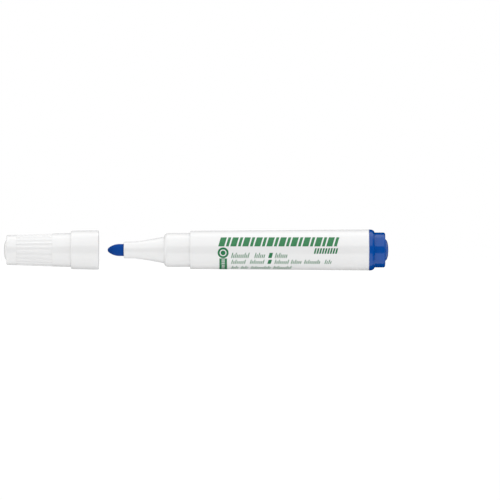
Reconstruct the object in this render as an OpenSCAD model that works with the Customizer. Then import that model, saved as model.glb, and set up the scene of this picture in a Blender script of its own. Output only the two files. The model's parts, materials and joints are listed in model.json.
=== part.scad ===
// Whiteboard marker: a felt tip marker with a bullet nib, laid out with its cap off.
//
// Every piece is turned about one axis, X, which runs from the cap to the end plug.
// Stations along the axis are measured from the front edge of the barrel: the nib is
// on the negative side and the end plug is on the positive side.
// The cap is drawn at its closed stations and then moved off by cap_travel.

/* [Barrel] */
// Length of the barrel, from its front edge to the end plug's flange
barrel_len = 78.7; // [74:0.1:90]
// Outer diameter at the front edge
barrel_front_d = 16.8; // [16.6:0.1:17.2]
// Outer diameter at the rear edge
barrel_rear_d = 18.0; // [17.8:0.1:18.6]
// Number of inner ribs that centre the ink reservoir
barrel_ribs = 6; // [3:1:8]

/* [Front section] */
// Diameter of the cap seat
seat_d = 14.9; // [14.8:0.05:15.0]
// Length of the cap seat
seat_len = 11.4; // [11:0.1:11.8]
// Height of the rounded edge at the front of the cap seat
seat_edge_r = 1.65; // [1.3:0.05:1.65]
// Length of the rounded edge at the front of the cap seat
seat_edge_len = 2.4; // [1.6:0.1:3]
// Diameter of the nose where it meets the cap seat
nose_root_d = 11.7; // [10.5:0.1:11.8]
// Length of the flared part of the nose
flare_len = 13; // [12.6:0.1:13.4]
// Diameter of the throat, behind the nose tip
throat_d = 7.4; // [7.3:0.05:7.4]
// Length of the throat
throat_len = 4.8; // [4.4:0.1:5.4]
// Diameter of the nose tip
nose_tip_d = 7.2; // [7:0.05:7.3]

/* [Nib] */
// Diameter of the nib
nib_d = 5.3; // [5:0.05:5.3]
// Length of nib that stands out of the nose
nib_exposed = 7.1; // [6.6:0.1:7.4]
// Length of the nib's pointed part, before its tip is blunted
nib_point_len = 5.8; // [5.4:0.1:6.2]
// Length that the blunt tip takes off the point
nib_blunt = 0.6; // [0.4:0.1:0.8]
// Length of the nib's round shank behind the nose tip
nib_shank_len = 22; // [20:0.5:23]
// Length of the nib's tapered tail, inside the reservoir
nib_tail_len = 6; // [4:0.5:8]

/* [Reservoir] */
// Outer diameter of the wrapped ink reservoir
reservoir_d = 12.7; // [12.2:0.1:12.7]
// Thickness of the film round the fibre
film_t = 0.1; // [0.08:0.01:0.15]

/* [End plug] */
// Diameter of the end plug's flange
flange_d = 18.1; // [17.9:0.1:18.8]
// Length of the flange, from the barrel to the foot of the post
flange_len = 2.4; // [2:0.1:2.6]
// Diameter of the post behind the flange
post_d = 15.4; // [15:0.1:15.8]
// Distance from the barrel to the end face of the post
post_end = 7.1; // [6.8:0.1:8]
// Edge radius of the post
post_edge_r = 0.8; // [0.6:0.1:1.2]
// Diameter of the domed button on the end face
plug_dome_d = 9.6; // [8:0.2:11]
// Height of the domed button on the end face
plug_dome_h = 1.4; // [1:0.1:1.8]

/* [Cap] */
// Length of the cap, from its mouth to its end face
cap_len = 40.6; // [40.2:0.1:42]
// Diameter of the collar at the cap's mouth
cap_mouth_d = 17.3; // [17.1:0.1:17.6]
// Diameter of the collar at its shoulder
cap_collar_d = 16.9; // [16.8:0.1:17.1]
// Length of the collar, with its shoulder
cap_collar_len = 12.2; // [12.1:0.1:12.8]
// Diameter of the sleeve at the foot of the shoulder
cap_sleeve_d = 15.0; // [14.9:0.05:15.2]
// Diameter of the sleeve at the closed end
cap_end_d = 13.1; // [13:0.05:13.4]
// Diameter of the domed button on the end face
cap_dome_d = 8.8; // [7.6:0.2:9.2]
// Height of the domed button on the end face
cap_dome_h = 1.1; // [0.8:0.1:1.4]
// Number of grip ribs round the sleeve
grip_ribs = 25; // [20:1:26]
// Depth of the hollow flutes between the grip ribs
flute_depth = 0.23; // [0.15:0.01:0.25]
// Radius of the flutes' hollow curve
flute_r = 1.8; // [1.6:0.1:2.4]
// Distance from the mouth to the front of the flutes
flute_front = 20.4; // [19:0.2:21]
// Distance from the mouth to the rear of the flutes
flute_rear = 36.2; // [35:0.2:37]

/* [Layout] */
// Gap between the cap's mouth and the nib's tip when the cap is off
cap_gap = 3.9; // [1:0.1:20]

/* [Hidden] */

round_fn = 96;         // segments round the axis
fit = 0.02;            // radial clearance of a pushed-in part
over = 1;              // how far a cut runs past the end that it opens
embed = 0.3;           // how far a rib reaches into the wall that carries it
white = "whitesmoke";
blue = "#0b4796";

// Stations
nose_s = -(seat_len + flare_len + throat_len);
throat_s = -(seat_len + flare_len);
nib_s = nose_s - nib_exposed;
cap_travel = cap_gap - nib_s;
plug_end_s = barrel_len + post_end + plug_dome_h;
cap_end_s = -(cap_len + cap_dome_h + cap_travel);
mid_s = (plug_end_s + cap_end_s) / 2;
axis_z = max(flange_d, barrel_rear_d, cap_mouth_d) / 2;

// Front joint: a spigot with a snap bead, pushed into the barrel
spigot_r = 7.2;
spigot_len = 10;
spigot_bead = 0.2;
spigot_bead_s = 6;
spigot_lead_len = 0.5;
spigot_lead = 0.4;
chamber_r = 6.45;      // room round the front of the reservoir
chamber_s = 1.6 - seat_len;
chamber_funnel_r = 5.2;    // the funnel that leads from the chamber to the nib's bore
chamber_funnel_len = 3.7;

// Rear joint: a skirt with a snap bead, pushed into the barrel
skirt_r = 7.78;
skirt_len = 7.8;
skirt_wall = 1.0;
skirt_lead = 0.4;
skirt_lead_len = 0.6;
post_wall = 1.3;
skirt_bead = 0.2;
skirt_bead_s = barrel_len - 5.6;
bead_len = 1.0;
bead_ramp = 0.3;       // share of a bead's length taken by each of its slopes
bead_root = 0.4;       // how deep a bead is rooted in its wall
cross_t = 1.0;         // thickness of the plug's crossed inner ribs
end_wall = 1.3;

// Barrel's cavity between the two joints
cavity_front_r = 7.35;
cavity_rear_r = 7.7;
cavity_front_s = spigot_len + 0.6;
cavity_rear_s = barrel_len - skirt_len - 1;
barrel_rib_t = 0.8;
barrel_rib_gap = 1;        // from each end of the cavity to the ribs
barrel_rib_r = reservoir_d / 2 + 0.07;
barrel_edge_r = 0.3;
barrel_chamfer = 0.2;      // chamfer of the rear edge, and slopes of the cavity's steps

// Reservoir and the nib's tail
reservoir_front_s = chamber_s + 0.2;
reservoir_rear_s = barrel_len - 6;
fibre_r = reservoir_d / 2 - film_t - 0.01;
nib_tail_s = nose_s + nib_shank_len;
nib_tail_tip_r = 1.2;
nib_bore_r = 2.95;
nib_ribs = 6;
nib_rib_t = 0.7;
nib_rib_gap = 0.6;     // from each end of the nib's bore to its ribs

// Cap's bores, at closed stations
bore_r = 7.65;
bore_depth = seat_len + 0.3;
bore_edge_r = 1.2;
bore_lead = 0.4;       // lead-in chamfer at the mouth
land_r = seat_d / 2 + 0.03;
lands = 6;
land_w = 1.6;
land_front_s = -1.5;
land_rear_s = bore_edge_r + 0.4 - bore_depth;
sleeve_bore_front_r = 6.2;
sleeve_bore_rear_r = 5.95;
seal_seat_s = -22.6;
seal_bore_r = 5.6;
cap_floor_s = end_wall - cap_len;
shoulder_r = 0.45;
flute_turn = 266.5;    // the first flute lies a little above the side that faces -Y

// Inner seal
seal_lip_r = throat_d / 2 + 0.04;
seal_lip_s = throat_s - 0.1;
seal_cup_r = 4.9;
seal_wall = 0.8;
seal_fins = 6;

// Points of an arc of radius r about [cx, cy], from angle a0 to angle a1
function arc(cx, cy, r, a0, a1, n = 8) =
  [for (i = [0:n]) let (a = a0 + (a1 - a0) * i / n) [cx + r * cos(a), cy + r * sin(a)]];

// Points of a quadratic curve from p0 to p2 that leaves and arrives towards p1
function bend(p0, p1, p2, n = 12) =
  [for (i = [0:n]) let (t = i / n) (1 - t) * (1 - t) * p0 + 2 * t * (1 - t) * p1 + t * t * p2];

// Radius of a cone that runs from radius r0 at station s0 to radius r1 at station s1
function cone_r(s, s0, r0, s1, r1) = r0 + (r1 - r0) * (s - s0) / (s1 - s0);

function barrel_r(s) = cone_r(s, 0, barrel_front_d / 2, barrel_len, barrel_rear_d / 2);
function sleeve_r(s) = cone_r(s, -cap_collar_len, cap_sleeve_d / 2, -cap_len, cap_end_d / 2);

// Half profile of a domed button with steep sides: base radius, height, station of its base,
// side it faces
function dome(base_r, h, s, side) =
  bend([base_r, s], [base_r * 0.88, s + side * h * 0.95], [0, s + side * h], 14);

// Lays a piece along the marker's axis: its own +Z becomes +X
module on_axis(shift = 0) {
  translate([shift - mid_s, 0, axis_z]) rotate([0, 90, 0]) children();
}

// Turns a half profile of [radius, station] points
module turned(points) {
  rotate_extrude($fn = round_fn) polygon(points);
}

// A ring that stands out of, or is cut into, a round wall
module bead_ring(wall_r, height, s) {
  turned([[wall_r - bead_root, s], [wall_r, s], [wall_r + height, s + bead_len * bead_ramp],
          [wall_r + height, s + bead_len * (1 - bead_ramp)], [wall_r, s + bead_len],
          [wall_r - bead_root, s + bead_len]]);
}

// Straight ribs spaced round the axis, from radius r0 to radius r1
module rib_ring(count, r0, r1, thickness, s0, s1) {
  for (i = [0:count - 1])
    rotate([0, 0, i * 360 / count])
      translate([r0, -thickness / 2, s0]) cube([r1 - r0, thickness, s1 - s0]);
}

module barrel_outside() {
  front_r = barrel_r(barrel_edge_r);
  rear_r = barrel_rear_d / 2;
  turned(concat(
    [[0, 0]],
    arc(front_r - barrel_edge_r, barrel_edge_r, barrel_edge_r, -90, 0),
    [[barrel_r(barrel_len - barrel_chamfer), barrel_len - barrel_chamfer],
     [rear_r - barrel_chamfer, barrel_len], [0, barrel_len]]));
}

module barrel() {
  color(white) on_axis() {
    difference() {
      barrel_outside();
      turned([[0, -over], [spigot_r + fit, -over], [spigot_r + fit, cavity_front_s],
              [cavity_front_r, cavity_front_s + barrel_chamfer],
              [cavity_rear_r, cavity_rear_s],
              [skirt_r + fit, cavity_rear_s + barrel_chamfer],
              [skirt_r + fit, barrel_len + over], [0, barrel_len + over]]);
      bead_ring(spigot_r + fit, spigot_bead, spigot_bead_s);
      bead_ring(skirt_r + fit, skirt_bead, skirt_bead_s);
    }
    rib_ring(barrel_ribs, barrel_rib_r, cavity_rear_r + embed, barrel_rib_t,
             cavity_front_s + barrel_rib_gap, cavity_rear_s - barrel_rib_gap);
  }
}

module front_section_outside() {
  tip_r = nose_tip_d / 2;
  tip_edge = 0.3;
  root_r = nose_root_d / 2;
  seat_r = seat_d / 2;
  flare_from = throat_d / 2 + 0.25;          // the flare's curve leaves the throat towards
  flare_at = throat_s + flare_len * 0.27;    // this radius at this station
  turned(concat(
    [[0, nose_s]],
    arc(tip_r - tip_edge, nose_s + tip_edge, tip_edge, -90, 0, 5),
    bend([throat_d / 2, throat_s], [flare_from, flare_at], [root_r, -seat_len]),
    bend([seat_r - seat_edge_r, -seat_len], [seat_r, -seat_len],
         [seat_r, seat_edge_len - seat_len]),
    [[seat_r, 0], [spigot_r, 0], [spigot_r, spigot_len - spigot_lead_len],
     [spigot_r - spigot_lead, spigot_len], [0, spigot_len]]));
}

module front_section() {
  color(white) on_axis() {
    difference() {
      union() {
        front_section_outside();
        bead_ring(spigot_r, spigot_bead, spigot_bead_s);
      }
      turned([[0, nose_s - over], [nib_bore_r, nose_s - over],
              [nib_bore_r, chamber_s - chamber_funnel_len],
              [chamber_funnel_r, chamber_s - 0.4], [chamber_funnel_r, chamber_s],
              [chamber_r, chamber_s], [chamber_r, spigot_len + over],
              [0, spigot_len + over]]);
    }
    rib_ring(nib_ribs, nib_d / 2 + fit, nib_bore_r + embed, nib_rib_t, nose_s + nib_rib_gap,
             chamber_s - chamber_funnel_len - nib_rib_gap);
  }
}

// Radius of the nib's pointed part at a distance x behind its unblunted point
function point_r(x) =
  let (r = nib_d / 2, big = (r * r + nib_point_len * nib_point_len) / (2 * r))
  sqrt(big * big - pow(nib_point_len - x, 2)) - big + r;

module nib() {
  flat_r = 0.25;                 // the worn flat at the very tip
  side_from = nib_blunt + 0.5;   // where the rounded tip meets the point's side
  color(blue) on_axis() turned(concat(
    [[0, nib_s]],
    bend([flat_r, nib_s + 0.01], [flat_r * 2.7, nib_s + 0.06],
         [point_r(side_from), nib_s + side_from - nib_blunt], 8),
    [for (i = [1:18]) let (x = side_from + (nib_point_len - side_from) * i / 18)
      [point_r(x), nib_s + x - nib_blunt]],
    [[nib_d / 2, nib_tail_s], [nib_tail_tip_r, nib_tail_s + nib_tail_len],
     [0, nib_tail_s + nib_tail_len]]));
}

module ink_reservoir() {
  gap = 0.03;
  color("#123c86") on_axis() difference() {
    turned([[0, reservoir_front_s], [fibre_r, reservoir_front_s],
            [fibre_r, reservoir_rear_s], [0, reservoir_rear_s]]);
    turned([[0, reservoir_front_s - over], [nib_d / 2 + gap, reservoir_front_s - over],
            [nib_d / 2 + gap, nib_tail_s], [nib_tail_tip_r + gap, nib_tail_s + nib_tail_len],
            [0, nib_tail_s + nib_tail_len + gap]]);
  }
}

module reservoir_film() {
  outer = reservoir_d / 2;
  color("lightblue") on_axis()
    turned([[outer - film_t, reservoir_front_s], [outer, reservoir_front_s],
            [outer, reservoir_rear_s], [outer - film_t, reservoir_rear_s]]);
}

module end_plug_outside() {
  flange_r = flange_d / 2;
  post_r = post_d / 2;
  foot_s = barrel_len + flange_len;
  end_s = barrel_len + post_end;
  edge = 0.1;                    // small chamfers of the flange and of the post's foot
  shoulder = [flange_r - 0.05, barrel_len + flange_len * 0.9];
  turned(concat(
    [[0, barrel_len - skirt_len], [skirt_r - skirt_lead, barrel_len - skirt_len],
     [skirt_r, barrel_len - skirt_len + skirt_lead_len], [skirt_r, barrel_len],
     [flange_r - edge, barrel_len]],
    bend([flange_r, barrel_len + edge], shoulder, [post_r + edge, foot_s]),
    [[post_r, foot_s + edge]],
    arc(post_r - post_edge_r, end_s - post_edge_r, post_edge_r, 0, 90),
    dome(plug_dome_d / 2, plug_dome_h, end_s, 1)));
}

module end_plug() {
  floor_s = barrel_len + post_end - end_wall;
  skirt_bore_r = skirt_r - skirt_wall;
  post_bore_r = post_d / 2 - post_wall;
  cross_s = reservoir_rear_s + 0.2;          // the cross stands just clear of the reservoir
  color(blue) on_axis() {
    difference() {
      union() {
        end_plug_outside();
        bead_ring(skirt_r, skirt_bead, skirt_bead_s);
      }
      turned([[0, barrel_len - skirt_len - over], [skirt_bore_r, barrel_len - skirt_len - over],
              [skirt_bore_r, barrel_len + flange_len * 0.25],
              [post_bore_r, barrel_len + flange_len * 0.6],
              [post_bore_r, floor_s], [0, floor_s]]);
    }
    for (turn = [0, 90])
      rotate([0, 0, turn])
        translate([-post_bore_r - embed, -cross_t / 2, cross_s])
          cube([2 * (post_bore_r + embed), cross_t, floor_s + embed - cross_s]);
  }
}

module cap_outside() {
  mouth_r = cap_mouth_d / 2;
  rim_r = 0.35;
  collar_r = cap_collar_d / 2;
  end_edge = 0.6;
  end_r = sleeve_r(end_edge - cap_len);
  turned(concat(
    [[0, 0]],
    arc(mouth_r - rim_r, -rim_r, rim_r, 90, 0, 6),
    arc(collar_r - shoulder_r, shoulder_r - cap_collar_len, shoulder_r, 0, -90),
    [[cap_sleeve_d / 2, -cap_collar_len]],
    arc(end_r - end_edge, end_edge - cap_len, end_edge, 0, -90, 6),
    dome(cap_dome_d / 2, cap_dome_h, -cap_len, -1)));
}

// The hollow flutes, square at both ends, that leave the grip ribs standing between them.
// Each follows the taper of the sleeve.
module grip_flutes() {
  rear_r = sleeve_r(-flute_rear);
  taper = atan((sleeve_r(-flute_front) - rear_r) / (flute_rear - flute_front));
  for (i = [0:grip_ribs - 1])
    rotate([0, 0, flute_turn + i * 360 / grip_ribs])
      translate([rear_r - flute_depth + flute_r, 0, -flute_rear])
        rotate([0, taper, 0])
          cylinder(r = flute_r, h = (flute_rear - flute_front) / cos(taper), $fn = 48);
}

module cap_bores() {
  turned(concat(
    [[0, over], [bore_r + bore_lead, over], [bore_r + bore_lead, 0], [bore_r, -bore_lead]],
    arc(bore_r - bore_edge_r, bore_edge_r - bore_depth, bore_edge_r, 0, -90),
    [[sleeve_bore_front_r, -bore_depth], [sleeve_bore_rear_r, seal_seat_s],
     [seal_bore_r, seal_seat_s], [seal_bore_r, cap_floor_s], [0, cap_floor_s]]));
}

module cap_shell() {
  color(white) on_axis(-cap_travel) {
    difference() {
      cap_outside();
      grip_flutes();
      cap_bores();
    }
    rib_ring(lands, land_r, bore_r + embed, land_w, land_rear_s, land_front_s);
  }
}

module cap_inner_seal() {
  flange_r = sleeve_bore_rear_r - fit;
  flange_s = seal_seat_s + 1;
  cup_bore_r = seal_cup_r - seal_wall;
  back_s = cap_floor_s + 0.1;
  back_edge = 0.3;
  floor_s = back_s + 1.2;
  lip_len = 1;
  color("ivory") on_axis(-cap_travel) {
    turned([[0, back_s], [seal_cup_r - back_edge, back_s], [seal_cup_r, back_s + back_edge],
            [seal_cup_r, seal_seat_s], [flange_r, seal_seat_s], [flange_r, flange_s],
            [seal_lip_r + 1, flange_s], [seal_lip_r, seal_lip_s],
            [seal_lip_r, seal_lip_s - lip_len], [cup_bore_r, seal_lip_s - 1.4 * lip_len],
            [cup_bore_r, floor_s], [0, floor_s]]);
    rib_ring(seal_fins, seal_cup_r - embed, seal_bore_r - fit, seal_wall, back_s + 0.8,
             seal_seat_s + embed);
  }
}

barrel();
front_section();
nib();
ink_reservoir();
reservoir_film();
end_plug();
cap_shell();
cap_inner_seal();
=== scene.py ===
"""Looks of a whiteboard marker that lies with its cap off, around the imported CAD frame.

Units are metres. The marker's axis runs along X at the height of the end plug's flange radius:
the cap is at the -X end and the end plug at the +X end. The viewer stands on the -Y side.
"""

import json
import math

import bpy
import bmesh
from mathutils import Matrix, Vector


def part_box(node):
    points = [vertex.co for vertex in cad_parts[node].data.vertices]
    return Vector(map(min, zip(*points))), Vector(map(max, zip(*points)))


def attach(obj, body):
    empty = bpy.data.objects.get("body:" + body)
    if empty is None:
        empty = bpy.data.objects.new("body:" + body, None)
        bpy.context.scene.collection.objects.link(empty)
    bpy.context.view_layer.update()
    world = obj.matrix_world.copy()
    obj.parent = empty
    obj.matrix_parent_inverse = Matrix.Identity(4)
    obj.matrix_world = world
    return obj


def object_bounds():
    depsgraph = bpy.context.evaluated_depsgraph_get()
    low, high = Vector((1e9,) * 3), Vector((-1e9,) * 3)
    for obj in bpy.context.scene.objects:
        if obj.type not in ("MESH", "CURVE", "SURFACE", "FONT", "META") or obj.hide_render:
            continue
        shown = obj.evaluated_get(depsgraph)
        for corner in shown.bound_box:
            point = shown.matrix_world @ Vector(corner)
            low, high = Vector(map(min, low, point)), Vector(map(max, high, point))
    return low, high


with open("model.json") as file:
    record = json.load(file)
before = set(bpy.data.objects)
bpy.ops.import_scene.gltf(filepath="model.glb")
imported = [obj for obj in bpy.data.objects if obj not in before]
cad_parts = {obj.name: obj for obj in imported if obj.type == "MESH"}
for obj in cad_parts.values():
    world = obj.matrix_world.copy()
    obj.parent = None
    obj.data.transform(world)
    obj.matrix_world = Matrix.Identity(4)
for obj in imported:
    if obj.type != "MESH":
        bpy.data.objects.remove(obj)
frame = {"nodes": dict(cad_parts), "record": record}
cad_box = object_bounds()

MM = 0.001


# ---------------------------------------------------------------- places taken from the frame

barrel_lo, barrel_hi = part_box("barrel")
plug_lo, plug_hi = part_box("end_plug")

AXIS_Z = (plug_lo.z + plug_hi.z) / 2


def outermost(node, x, reach):
    """Place along X and radius of the vertex of a turned CAD node that stands furthest out near x."""
    near = [v.co for v in frame["nodes"][node].data.vertices if abs(v.co.x - x) <= reach]
    radius, place = max((math.hypot(co.y, co.z - AXIS_Z), co.x) for co in near)
    return place, radius


END_REACH = 1.0 * MM        # the barrel's rounded ends are shorter than this
front_x, front_r = outermost("barrel", barrel_lo.x, END_REACH)
rear_x, rear_r = outermost("barrel", barrel_hi.x, END_REACH)


def barrel_r(x):
    """Radius of the barrel's tapered wall at a place along X."""
    return front_r + (rear_r - front_r) * (x - front_x) / (rear_x - front_x)


# ---------------------------------------------------------------- materials

def new_material(name, colour, roughness):
    """A Principled material with a plain base, and its node tree's handles."""
    mat = bpy.data.materials.new(name)
    mat.use_nodes = True
    shader = mat.node_tree.nodes["Principled BSDF"]
    shader.inputs["Base Color"].default_value = (*colour, 1.0)
    shader.inputs["Roughness"].default_value = roughness
    return mat, mat.node_tree, shader


def object_coords(tree, scale=(1, 1, 1)):
    """Object-space coordinates, which are the row frame's metres, scaled along each axis."""
    coords = tree.nodes.new("ShaderNodeTexCoord")
    mapping = tree.nodes.new("ShaderNodeMapping")
    mapping.inputs["Scale"].default_value = scale
    tree.links.new(coords.outputs["Object"], mapping.inputs["Vector"])
    return mapping.outputs["Vector"]


def noise(tree, vector, scale, detail=3.0, rough=0.5):
    """A noise value; its scale is about the number of features in a metre."""
    tex = tree.nodes.new("ShaderNodeTexNoise")
    tex.inputs["Scale"].default_value = scale
    tex.inputs["Detail"].default_value = detail
    tex.inputs["Roughness"].default_value = rough
    tree.links.new(vector, tex.inputs["Vector"])
    return tex.outputs["Fac"]


def spread(tree, value, low, high, from_low=0.3, from_high=0.7):
    """Maps a noise value onto a range."""
    node = tree.nodes.new("ShaderNodeMapRange")
    node.inputs["From Min"].default_value = from_low
    node.inputs["From Max"].default_value = from_high
    node.inputs["To Min"].default_value = low
    node.inputs["To Max"].default_value = high
    tree.links.new(value, node.inputs["Value"])
    return node.outputs["Result"]


def two_tones(tree, value, dark, light, from_low=0.3, from_high=0.7):
    """Maps a noise value onto a blend of two colours."""
    ramp = tree.nodes.new("ShaderNodeValToRGB")
    ramp.color_ramp.elements[0].position = from_low
    ramp.color_ramp.elements[0].color = (*dark, 1.0)
    ramp.color_ramp.elements[1].position = from_high
    ramp.color_ramp.elements[1].color = (*light, 1.0)
    tree.links.new(value, ramp.inputs["Fac"])
    return ramp.outputs["Color"]


def bump(tree, shader, height, strength, distance):
    """Shades the surface as if a height value raised it by up to a distance in metres."""
    node = tree.nodes.new("ShaderNodeBump")
    node.inputs["Strength"].default_value = strength
    node.inputs["Distance"].default_value = distance
    tree.links.new(height, node.inputs["Height"])
    tree.links.new(node.outputs["Normal"], shader.inputs["Normal"])


def let_light_in(shader, weight, radius, scale):
    """Lets light scatter below the surface, as in a thin milky plastic wall."""
    shader.inputs["Subsurface Weight"].default_value = weight
    shader.inputs["Subsurface Radius"].default_value = radius
    shader.inputs["Subsurface Scale"].default_value = scale


CLOUD_SCALE = 90.0          # clouding of the plastic, about a centimetre across
WEAR_SCALE = 260.0          # patches of slightly different gloss
GRAIN_SCALE = 5200.0        # mould texture, a fifth of a millimetre
PLASTIC_IOR = 1.49
WHITE_IOR = 1.62            # the white pigment makes the wall reflect a little more


def moulded_plastic(name, dark, light, roughness, gloss_range, ior=PLASTIC_IOR):
    """Injection-moulded plastic: faint clouding, gloss that varies a little, a fine mould texture."""
    mat, tree, shader = new_material(name, light, roughness)
    cloud = noise(tree, object_coords(tree), CLOUD_SCALE, detail=4.0)
    tree.links.new(two_tones(tree, cloud, dark, light), shader.inputs["Base Color"])
    wear = noise(tree, object_coords(tree, (1, 2.5, 2.5)), WEAR_SCALE, detail=5.0, rough=0.6)
    tree.links.new(spread(tree, wear, roughness - gloss_range, roughness + gloss_range),
                   shader.inputs["Roughness"])
    grain = noise(tree, object_coords(tree), GRAIN_SCALE, detail=2.0)
    bump(tree, shader, grain, strength=0.12, distance=0.02 * MM)
    shader.inputs["IOR"].default_value = ior
    return mat


def white_plastic():
    """The barrel, the front section and the cap."""
    dark, light = (0.76, 0.76, 0.761), (0.778, 0.777, 0.776)
    mat = moulded_plastic("white_plastic", dark, light, roughness=0.12, gloss_range=0.02, ior=WHITE_IOR)
    shader = mat.node_tree.nodes["Principled BSDF"]
    let_light_in(shader, weight=0.08, radius=(1.0, 0.9, 0.8), scale=0.6 * MM)
    return mat


def blue_plastic():
    """The end plug."""
    dark, light = (0.0005, 0.061, 0.305), (0.0008, 0.069, 0.336)
    return moulded_plastic("blue_plastic", dark, light, roughness=0.12, gloss_range=0.03)


NIB_STRANDS = 9000.0        # strands of the nib's fibre
RESERVOIR_STRANDS = 5000.0  # coarser strands of the reservoir's fibre


def fibre(name, dark, light, strand_scale):
    """Bundled fibres that run along X, pressed and ground to shape."""
    mat, tree, shader = new_material(name, light, roughness=0.85)
    strands = noise(tree, object_coords(tree, (0.06, 1, 1)), strand_scale, detail=4.0, rough=0.65)
    tree.links.new(two_tones(tree, strands, dark, light, 0.35, 0.65), shader.inputs["Base Color"])
    pores = noise(tree, object_coords(tree, (0.35, 1, 1)), 0.7 * strand_scale, detail=5.0, rough=0.7)
    bump(tree, shader, pores, strength=0.5, distance=0.05 * MM)
    shader.inputs["Specular IOR Level"].default_value = 0.12
    return mat


def soft_seal():
    """The cap's inner cup: soft, milky and matt."""
    mat, tree, shader = new_material("seal_plastic", (0.74, 0.74, 0.71), roughness=0.45)
    cloud = noise(tree, object_coords(tree), scale=300.0)
    tree.links.new(two_tones(tree, cloud, (0.68, 0.68, 0.65), (0.76, 0.76, 0.73)),
                   shader.inputs["Base Color"])
    let_light_in(shader, weight=0.3, radius=(1.0, 1.0, 0.9), scale=1.0 * MM)
    return mat


def clear_film():
    """The reservoir's thin wrapping, faintly wrinkled."""
    mat, tree, shader = new_material("clear_film", (0.8, 0.88, 0.95), roughness=0.12)
    wrinkles = noise(tree, object_coords(tree, (0.3, 1, 1)), scale=900.0)
    bump(tree, shader, wrinkles, strength=0.3, distance=0.05 * MM)
    shader.inputs["Alpha"].default_value = 0.35
    return mat


def print_ink(name, dark, light):
    """Screen-printed ink: even, with the small density changes of a single pass."""
    mat, tree, shader = new_material(name, light, roughness=0.3)
    shader.inputs["Specular IOR Level"].default_value = 0.35
    density = noise(tree, object_coords(tree), scale=1400.0, detail=5.0, rough=0.6)
    tree.links.new(two_tones(tree, density, dark, light), shader.inputs["Base Color"])
    mottle = noise(tree, object_coords(tree), scale=6000.0, detail=2.0)
    bump(tree, shader, mottle, strength=0.1, distance=0.01 * MM)
    return mat


def dress_cad_nodes():
    """Gives each CAD node the look of its material slot; returns all looks, the two inks among them."""
    looks = {
        "white_plastic": white_plastic(),
        "blue_plastic": blue_plastic(),
        "nib_fibre": fibre("nib_fibre", (0.0005, 0.042, 0.24), (0.0008, 0.058, 0.3), NIB_STRANDS),
        "reservoir_fibre": fibre("reservoir_fibre", (0.006, 0.04, 0.17), (0.02, 0.08, 0.3),
                                 RESERVOIR_STRANDS),
        "clear_film": clear_film(),
        "seal_plastic": soft_seal(),
        "print_ink": print_ink("print_ink", (0.026, 0.168, 0.064), (0.038, 0.218, 0.082)),
        "deep_ink": print_ink("deep_ink", (0.01, 0.15, 0.052), (0.016, 0.19, 0.068)),
    }
    for part in frame["record"]["subparts"]:
        node = frame["nodes"][part["node"]]
        node.data.materials.clear()
        node.data.materials.append(looks[part["material_slot"]])
    return looks


# ---------------------------------------------------------------- printed graphics on the barrel

INK_PROUD = 0.03 * MM       # how far the ink stands out of the barrel's wall
INK_SUNK = 0.02 * MM        # how far its back reaches into the wall
ROW_STEP = 0.12 * MM        # spacing of the rows that follow the curve
SHARP_EDGE = 35             # edges steeper than this many degrees stay sharp


def on_barrel(x, v, lift):
    """Point on the barrel: x along the row frame, v up round the wall from the level of the axis."""
    r = barrel_r(x)
    a = v / r
    return Vector((x, -(r + lift) * math.cos(a), AXIS_Z + (r + lift) * math.sin(a)))


def add_patch(bm, v0, v1, left, right, steps=None):
    """A thin closed slab of ink between the edges left(v) and right(v), for v from v0 to v1."""
    steps = steps or max(2, math.ceil(abs(v1 - v0) / ROW_STEP))
    rows = []
    for i in range(steps + 1):
        v = v0 + (v1 - v0) * i / steps
        corners = [(left(v), INK_PROUD), (right(v), INK_PROUD), (right(v), -INK_SUNK),
                   (left(v), -INK_SUNK)]
        rows.append([bm.verts.new(on_barrel(x, v, lift)) for x, lift in corners])
    for a, b in zip(rows, rows[1:]):
        for k in range(4):
            bm.faces.new((a[k], a[(k + 1) % 4], b[(k + 1) % 4], b[k]))
    bm.faces.new(rows[0][::-1])
    bm.faces.new(rows[-1])


def ink_piece(name, draw, look):
    """Makes one printed piece from a function that draws its patches."""
    bm = bmesh.new()
    draw(bm)
    bmesh.ops.recalc_face_normals(bm, faces=bm.faces)
    mesh = bpy.data.meshes.new(name)
    bm.to_mesh(mesh)
    bm.free()
    mesh.shade_smooth()
    mesh.set_sharp_from_angle(angle=math.radians(SHARP_EDGE))
    mesh.materials.append(look)
    piece = bpy.data.objects.new(name, mesh)
    bpy.context.scene.collection.objects.link(piece)
    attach(piece, "barrel")


PRINT_X0 = barrel_lo.x + 12.4 * MM  # left edge of the print
PRINT_X1 = barrel_lo.x + 65.6 * MM  # right edge of the print
SLANT = 0.27                # run per rise of the slanted shapes


def slanted(x0, x1, v_foot):
    """Left and right edges that lean to the right as v rises."""
    return (lambda v: x0 + SLANT * (v - v_foot)), (lambda v: x1 + SLANT * (v - v_foot))


def add_bar(bm, x0, x1, v0, v1, steps=None):
    """One slanted bar; its foot is at v0."""
    left, right = slanted(x0, x1, v0)
    add_patch(bm, v0, v1, left, right, steps)


BANNER_V0 = 1.6 * MM        # foot of the banner's bars, up round the wall from the axis's level
BANNER_V1 = 6.02 * MM       # their top
BANNER_PAIRS = 10           # pairs of one wide and one narrow bar
LAST_GAP = 0.663 * MM       # the gap after the last bar, which lies past the print's right edge


def draw_banner(bm):
    """A band of bold slanted bars, wide and narrow in turn, where such a marker has its title."""
    lean = SLANT * (BANNER_V1 - BANNER_V0)
    pitch = (PRINT_X1 - PRINT_X0 - lean + LAST_GAP) / BANNER_PAIRS
    for i in range(BANNER_PAIRS):
        x0 = PRINT_X0 + i * pitch
        for start, end in ((0.0, 0.5), (0.63, 0.87)):
            add_bar(bm, x0 + start * pitch, x0 + end * pitch, BANNER_V0, BANNER_V1)


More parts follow.
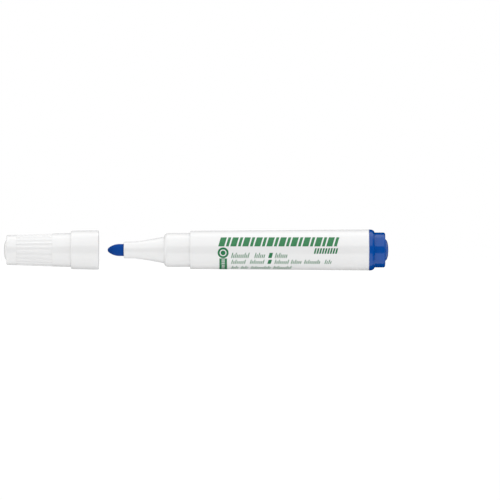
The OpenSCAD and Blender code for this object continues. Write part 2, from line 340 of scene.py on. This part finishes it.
ROUNDEL_X = PRINT_X0 + 2.13 * MM    # the roundel's middle, along X
ROUNDEL_V = -1.27 * MM      # its middle, up round the wall
ROUNDEL_R = 2.4 * MM        # radius of the disc
HOLE_R = 1.5 * MM           # radius of the bare plastic in it
DOT_R = 1.05 * MM           # radius of the dot in that
POLE_TRIM = 0.02 * MM       # cut off at a disc's poles, so that its end faces have a width


def draw_roundel(bm):
    """A disc with a plain ring of bare plastic in it, and so a dot in the middle."""
    def half(r, v):
        return math.sqrt(max(r * r - (v - ROUNDEL_V) ** 2, 0.0))

    def left(r):
        return lambda v: ROUNDEL_X - half(r, v)

    def right(r):
        return lambda v: ROUNDEL_X + half(r, v)

    disc_lo, disc_hi = ROUNDEL_V - ROUNDEL_R + POLE_TRIM, ROUNDEL_V + ROUNDEL_R - POLE_TRIM
    hole_lo, hole_hi = ROUNDEL_V - HOLE_R, ROUNDEL_V + HOLE_R
    dot_lo, dot_hi = ROUNDEL_V - DOT_R + POLE_TRIM, ROUNDEL_V + DOT_R - POLE_TRIM
    add_patch(bm, hole_hi, disc_hi, left(ROUNDEL_R), right(ROUNDEL_R), steps=8)
    add_patch(bm, disc_lo, hole_lo, left(ROUNDEL_R), right(ROUNDEL_R), steps=8)
    add_patch(bm, hole_lo, hole_hi, left(ROUNDEL_R), left(HOLE_R), steps=28)
    add_patch(bm, hole_lo, hole_hi, right(HOLE_R), right(ROUNDEL_R), steps=28)
    add_patch(bm, dot_lo, dot_hi, left(DOT_R), right(DOT_R), steps=16)


STRIP_X0 = PRINT_X0 + 0.5 * MM      # the column's left edge
STRIP_X1 = PRINT_X0 + 3.83 * MM     # its right edge
STRIP_TOP = -3.85 * MM      # its top, up round the wall
STRIP_SIDE = 0.95 * MM      # ink left and right of a window
STRIP_RUNG = 0.5 * MM       # ink between two windows
STRIP_WINDOW = 0.52 * MM    # height of a window
STRIP_WINDOWS = 8


def draw_strip(bm):
    """A column below the roundel, pierced by a ladder of small windows."""
    def upright(x):
        return lambda v: x

    left, right = upright(STRIP_X0), upright(STRIP_X1)
    inner_left, inner_right = upright(STRIP_X0 + STRIP_SIDE), upright(STRIP_X1 - STRIP_SIDE)
    top = STRIP_TOP
    for _ in range(STRIP_WINDOWS):
        add_patch(bm, top - STRIP_RUNG, top, left, right)
        top -= STRIP_RUNG
        add_patch(bm, top - STRIP_WINDOW, top, left, inner_left)
        add_patch(bm, top - STRIP_WINDOW, top, inner_right, right)
        top -= STRIP_WINDOW
    add_patch(bm, top - STRIP_RUNG, top, left, right)


FINE_PITCH = 0.8 * MM       # spacing of the fine strokes
FINE_WIDTH = 0.36 * MM      # width of a fine stroke
SHORT_SHARE = 0.68          # height of a short stroke, as a share of a tall one


def add_strokes(bm, x, width, foot, height, pitch=FINE_PITCH, stroke=FINE_WIDTH, short=SHORT_SHARE):
    """A group of slanted strokes, most of them short and a few tall."""
    for k in range(max(1, round(width / pitch))):
        share = 1 if (5 * k) % 7 in (0, 3) else short
        x0 = x + k * pitch
        add_bar(bm, x0, x0 + stroke, foot, foot + height * share, steps=6)


RULES_X0 = PRINT_X0 + 5.6 * MM
ACCENT_WIDTH = 1.5          # width of the solid block in a row, in millimetres

# For each row, in millimetres: foot, height, groups of strokes as (offset, width), block's offset.
RULES = (
    (-3.6, 2.34, ((0.0, 8.0), (10.2, 5.0), (19.2, 5.4)), 16.3),
    (-6.7, 2.2, ((0.0, 6.4), (8.2, 6.2), (19.0, 6.0), (26.2, 4.4), (32.0, 7.4), (41.0, 2.8)), 15.9),
    (-10.9, 2.6, ((0.0, 3.0), (4.2, 3.2), (8.6, 8.6), (18.4, 8.0)), None),
)


def draw_rules(bm):
    """Three rows of fine strokes in groups, where such a marker has its small print."""
    for foot_mm, height_mm, groups, accent in RULES:
        foot, height = foot_mm * MM, height_mm * MM
        for offset, width in groups:
            add_strokes(bm, RULES_X0 + offset * MM, width * MM, foot, height)
        if accent is not None:
            x0, x1 = RULES_X0 + accent * MM, RULES_X0 + (accent + ACCENT_WIDTH) * MM
            add_bar(bm, x0, x1, foot, foot + height, steps=8)


TAG_X0 = PRINT_X1 - 11.3 * MM       # the tag's left edge
TAG_WIDTH = 10.6 * MM
TAG_FOOT = -1.66 * MM       # foot of its strokes, up round the wall
TAG_HEIGHT = 2.43 * MM
TAG_PITCH = 1.17 * MM       # spacing of its strokes
TAG_STROKE = 0.7 * MM       # width of a stroke


def draw_tag(bm):
    """A short row of equal strokes under the right end of the banner."""
    add_strokes(bm, TAG_X0, TAG_WIDTH, TAG_FOOT, TAG_HEIGHT, TAG_PITCH, TAG_STROKE, short=1.0)


def make_print(bold, deep):
    """All the print: the banner in the bold ink, and the finer shapes in a deeper one."""
    ink_piece("print_banner", draw_banner, bold)
    ink_piece("print_roundel", draw_roundel, deep)
    ink_piece("print_strip", draw_strip, deep)
    ink_piece("print_rules", draw_rules, deep)
    ink_piece("print_tag", draw_tag, deep)


# ---------------------------------------------------------------- camera, floor and light

VIEW_WIDTH = 0.220          # width of the picture at the marker
VIEW_DISTANCE = 3.0         # from the lens to the marker
SENSOR = 0.036              # width of the camera's sensor
FRAMED_X = cad_box[1].x - 60.87 * MM    # the marker stands left of the picture's middle


def add_camera():
    """A long lens, level with the marker's axis and square to it."""
    data = bpy.data.cameras.new("camera")
    data.sensor_width = SENSOR / MM
    data.lens = SENSOR * VIEW_DISTANCE / VIEW_WIDTH / MM
    data.clip_start, data.clip_end = 0.01, 20.0
    camera = bpy.data.objects.new("camera", data)
    camera.location = (FRAMED_X, -VIEW_DISTANCE, AXIS_Z)
    camera.rotation_euler = (math.pi / 2, 0, 0)
    bpy.context.scene.collection.objects.link(camera)
    bpy.context.scene.camera = camera


def stage_mesh(name, verts, faces, mat):
    """A mesh that belongs to the studio and not to the marker."""
    mesh = bpy.data.meshes.new(name)
    mesh.from_pydata(verts, [], faces)
    mesh.materials.append(mat)
    obj = bpy.data.objects.new(name, mesh)
    bpy.context.scene.collection.objects.link(obj)
    return obj


FLOOR_HALF = 3.0            # half the floor's width
FLOOR_GLOW = 0.62           # the floor's own light, which keeps it white up to its far edge


def add_floor():
    """A plain white floor under the marker, which takes soft shadows and shows in no reflection."""
    mat, _, shader = new_material("floor", (0.4, 0.4, 0.4), roughness=0.9)
    shader.inputs["Specular IOR Level"].default_value = 0.0
    shader.inputs["Emission Color"].default_value = (1, 1, 1, 1)
    shader.inputs["Emission Strength"].default_value = FLOOR_GLOW
    half = FLOOR_HALF
    corners = [(-half, -half, 0), (half, -half, 0), (half, half, 0), (-half, half, 0)]
    floor = stage_mesh("floor", corners, [(0, 1, 2, 3)], mat)
    floor.visible_glossy = False
    floor.visible_shadow = False


def glowing(name, strength):
    """A plain white emission."""
    mat = bpy.data.materials.new(name)
    mat.use_nodes = True
    tree = mat.node_tree
    tree.nodes.clear()
    emission = tree.nodes.new("ShaderNodeEmission")
    emission.inputs["Strength"].default_value = strength
    out = tree.nodes.new("ShaderNodeOutputMaterial")
    tree.links.new(emission.outputs["Emission"], out.inputs["Surface"])
    return mat


TUNNEL_R = 0.7              # distance of the softboxes from the marker's axis
TUNNEL_HALF = 0.6           # half their length along X
SLICES = 24                 # flat strips that one softbox is made of
CARD_HALF = 0.6             # half the height and, if nothing else is said, the width of an end card


def softbox(name, from_deg, to_deg, strength):
    """Part of a tunnel of light round the marker's axis, between two elevations.

    Elevations are in degrees: 0 is the viewer's side, 90 straight up, 180 behind, -90 straight down.
    """
    verts = []
    for i in range(SLICES + 1):
        a = math.radians(from_deg + (to_deg - from_deg) * i / SLICES)
        y, z = -TUNNEL_R * math.cos(a), AXIS_Z + TUNNEL_R * math.sin(a)
        verts += [(-TUNNEL_HALF, y, z), (TUNNEL_HALF, y, z)]
    faces = [(2 * i, 2 * i + 1, 2 * i + 3, 2 * i + 2) for i in range(SLICES)]
    box = stage_mesh(name, verts, faces, glowing(name, strength))
    box.visible_camera = False
    return box


def end_card(name, x, strength, near_y=-CARD_HALF, far_y=CARD_HALF):
    """An upright card across the marker's axis, beyond one of its ends."""
    low, high = AXIS_Z - CARD_HALF, AXIS_Z + CARD_HALF
    corners = [(x, near_y, low), (x, far_y, low), (x, far_y, high), (x, near_y, high)]
    card = stage_mesh(name, corners, [(0, 1, 2, 3)], glowing(name, strength))
    card.visible_camera = False
    return card


def as_reflection(light):
    """Lets a light show in the marker's gloss, but light nothing."""
    light.visible_diffuse = False
    light.visible_shadow = False
    return light


def only_on(light, slot):
    """Lets a light fall only on the CAD nodes of one material, as a flag does in a studio."""
    lit = bpy.data.collections.new(light.name + "_receivers")
    for part in frame["record"]["subparts"]:
        if part["material_slot"] == slot:
            lit.objects.link(frame["nodes"][part["node"]])
    light.light_linking.receiver_collection = lit


def not_on(light, node):
    """Lets a light fall on everything but one CAD node."""
    spared = bpy.data.collections.new(light.name + "_receivers")
    spared.objects.link(frame["nodes"][node])
    light.light_linking.receiver_collection = spared
    spared.collection_objects[0].light_linking.link_state = "EXCLUDE"


CARD_X = 0.8                # distance of the end cards from the marker's middle
LAMP_Z = 0.65               # height of the overhead lamp
LAMP_SIZE = (1.0, 0.5)      # along X and Y
LAMP_POWER = 0.85           # in watts


def add_sky():
    """Even white light from all round, which shows in no reflection."""
    world = bpy.data.worlds.new("studio")
    bpy.context.scene.world = world
    world.use_nodes = True
    world.node_tree.nodes["Background"].inputs["Color"].default_value = (1, 1, 1, 1)
    world.node_tree.nodes["Background"].inputs["Strength"].default_value = 1.0
    world.cycles_visibility.glossy = False


def add_softboxes():
    """Light from above, and reflections from behind, from the two ends and from below."""
    softbox("softbox_top", 24, 90, strength=1.15)
    softbox("softbox_overhead", 90, 110, strength=1.5)
    softbox("softbox_behind_top", 110, 122, strength=1.15)
    back = as_reflection(softbox("softbox_back", 122, 245, strength=0.35))
    only_on(back, "white_plastic")
    plug_card = end_card("card_plug_end", CARD_X, strength=0.9, near_y=0.15, far_y=1.2)
    only_on(as_reflection(plug_card), "blue_plastic")
    as_reflection(end_card("card_cap_end", -CARD_X, strength=1.0))
    as_reflection(softbox("softbox_low", -21, -101, strength=1.0))
    low_edge = as_reflection(softbox("softbox_low_edge", -101, -115, strength=1.0))
    only_on(low_edge, "white_plastic")


def add_lamp():
    """A soft lamp straight above, which lifts the upper side of all but the end plug."""
    overhead = bpy.data.lights.new("overhead", "AREA")
    overhead.shape = "RECTANGLE"
    overhead.size, overhead.size_y = LAMP_SIZE
    overhead.energy = LAMP_POWER
    lamp = bpy.data.objects.new("overhead", overhead)
    lamp.location = (0, 0, LAMP_Z)
    lamp.visible_glossy = False
    lamp.visible_camera = False
    not_on(lamp, "end_plug")
    bpy.context.scene.collection.objects.link(lamp)


looks = dress_cad_nodes()
make_print(looks["print_ink"], looks["deep_ink"])
add_camera()
add_floor()
add_sky()
add_softboxes()
add_lamp()
bpy.context.scene.view_settings.view_transform = "Standard"
